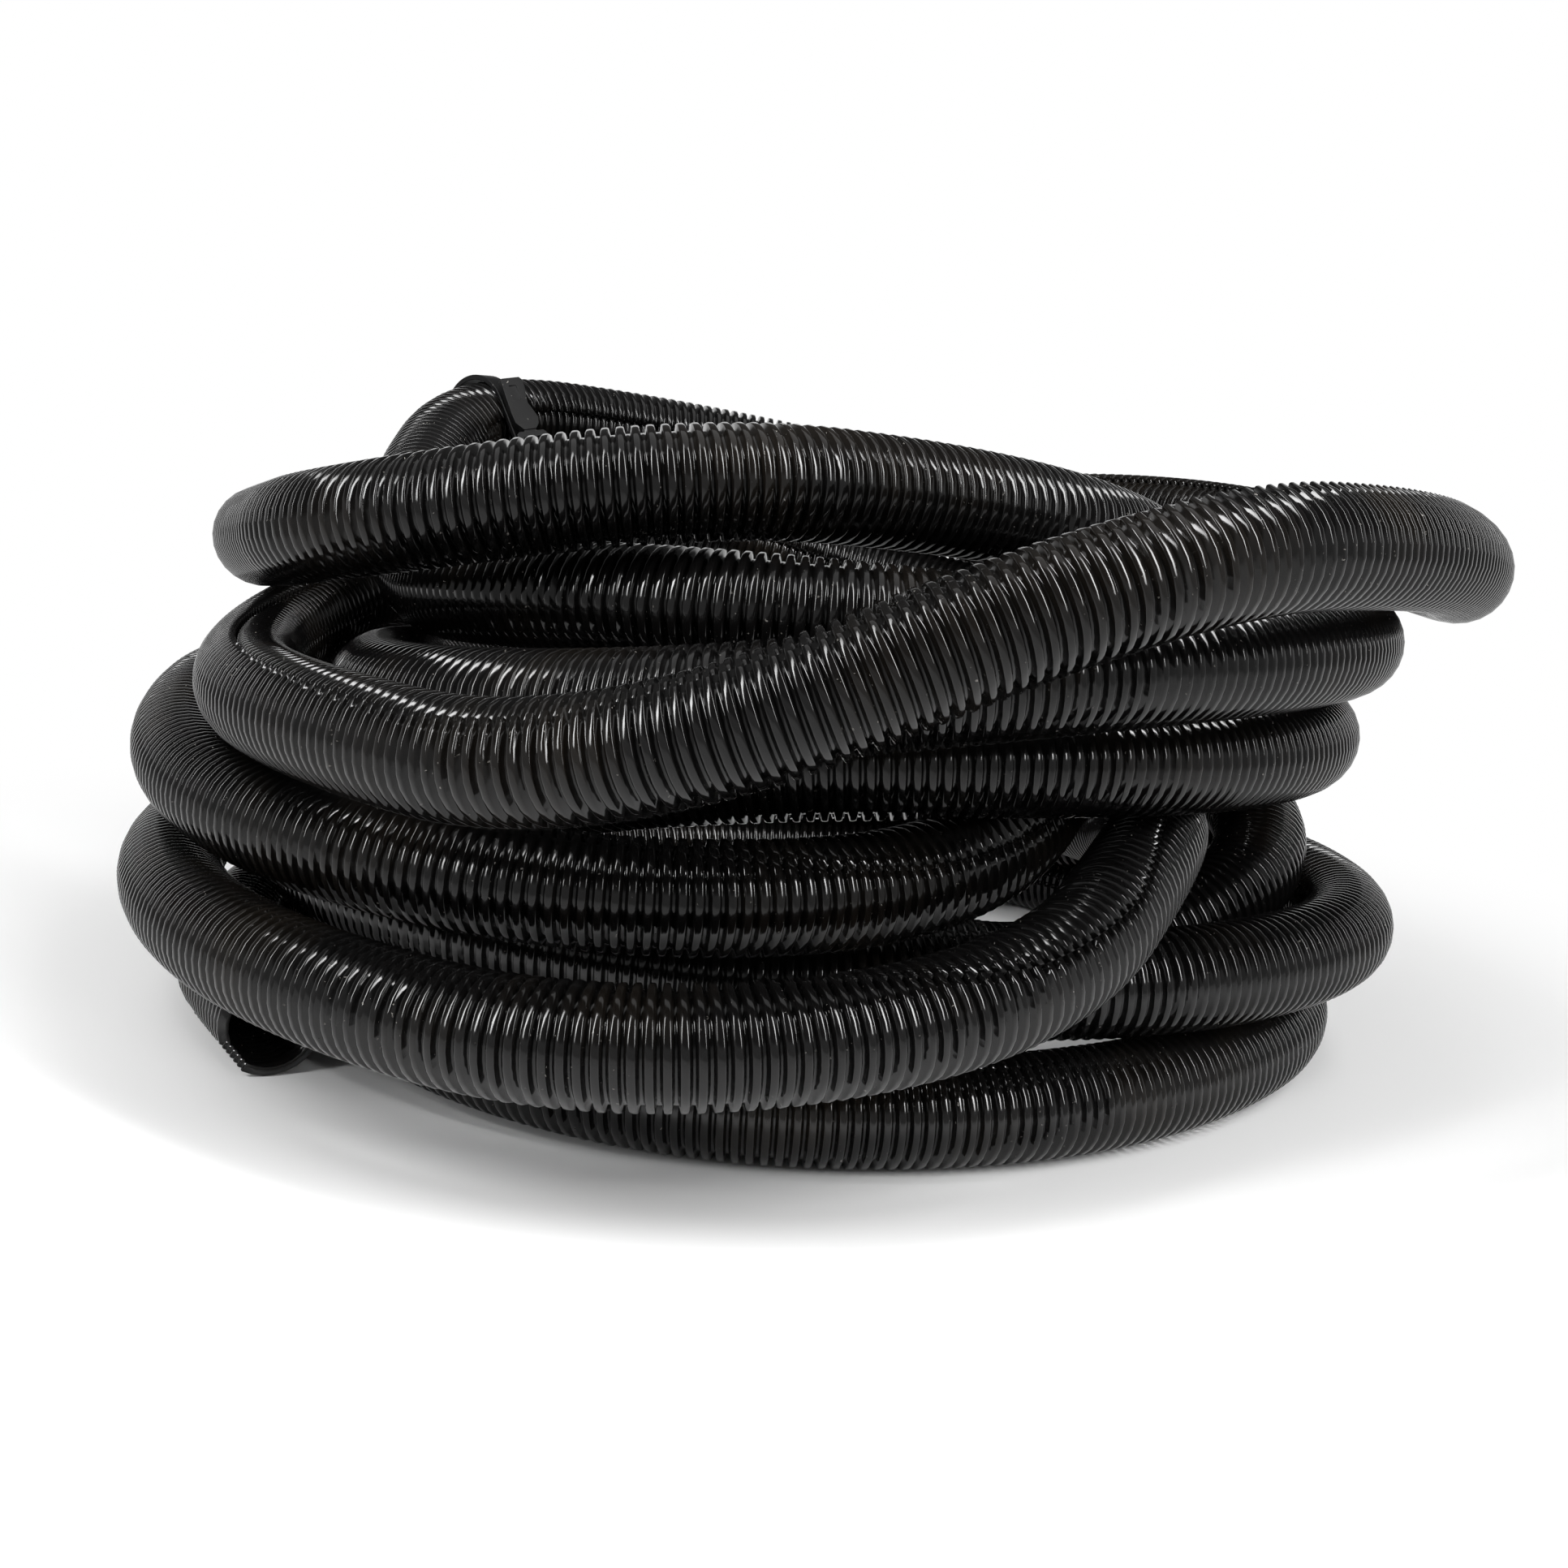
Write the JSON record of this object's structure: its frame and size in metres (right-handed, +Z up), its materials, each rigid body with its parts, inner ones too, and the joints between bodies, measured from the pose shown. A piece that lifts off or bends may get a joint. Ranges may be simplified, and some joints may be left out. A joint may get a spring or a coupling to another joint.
{
  "type": "corrugated hose",
  "caption": "Coiled black corrugated hose with ring-shaped ribs and a lengthwise slit, laid up in a loose pile and bound with a releasable cable tie.",
  "frame": {"origin": "centre of the whole pile's bounding box, on the floor that it rests on", "axes": "+Z up, -Y towards the picture's camera, +X to the camera's right"},
  "size_m": [0.4174, 0.4502, 0.1961],
  "materials": {
    "hose_plastic": "glossy black moulded plastic",
    "tie_nylon": "satin black nylon"
  },
  "bodies": {
    "pile": {"hose_coil": "hose_plastic", "hose_end_lower": "hose_plastic", "hose_end_upper": "hose_plastic", "tie_strap": "tie_nylon", "tie_head": "tie_nylon"},
    "lever": {"tie_release_lever": "tie_nylon"}
  },
  "joints": [
    {"name": "lever_hinge", "type": "hinge", "parent": "pile", "child": "lever", "pos_m": [-0.10468, 0.10282, 0.17746], "axis": [0.6428, 0.766, 0], "range_deg": [0, 20], "stiffness_Nm_per_rad": 0.01}
  ]
}
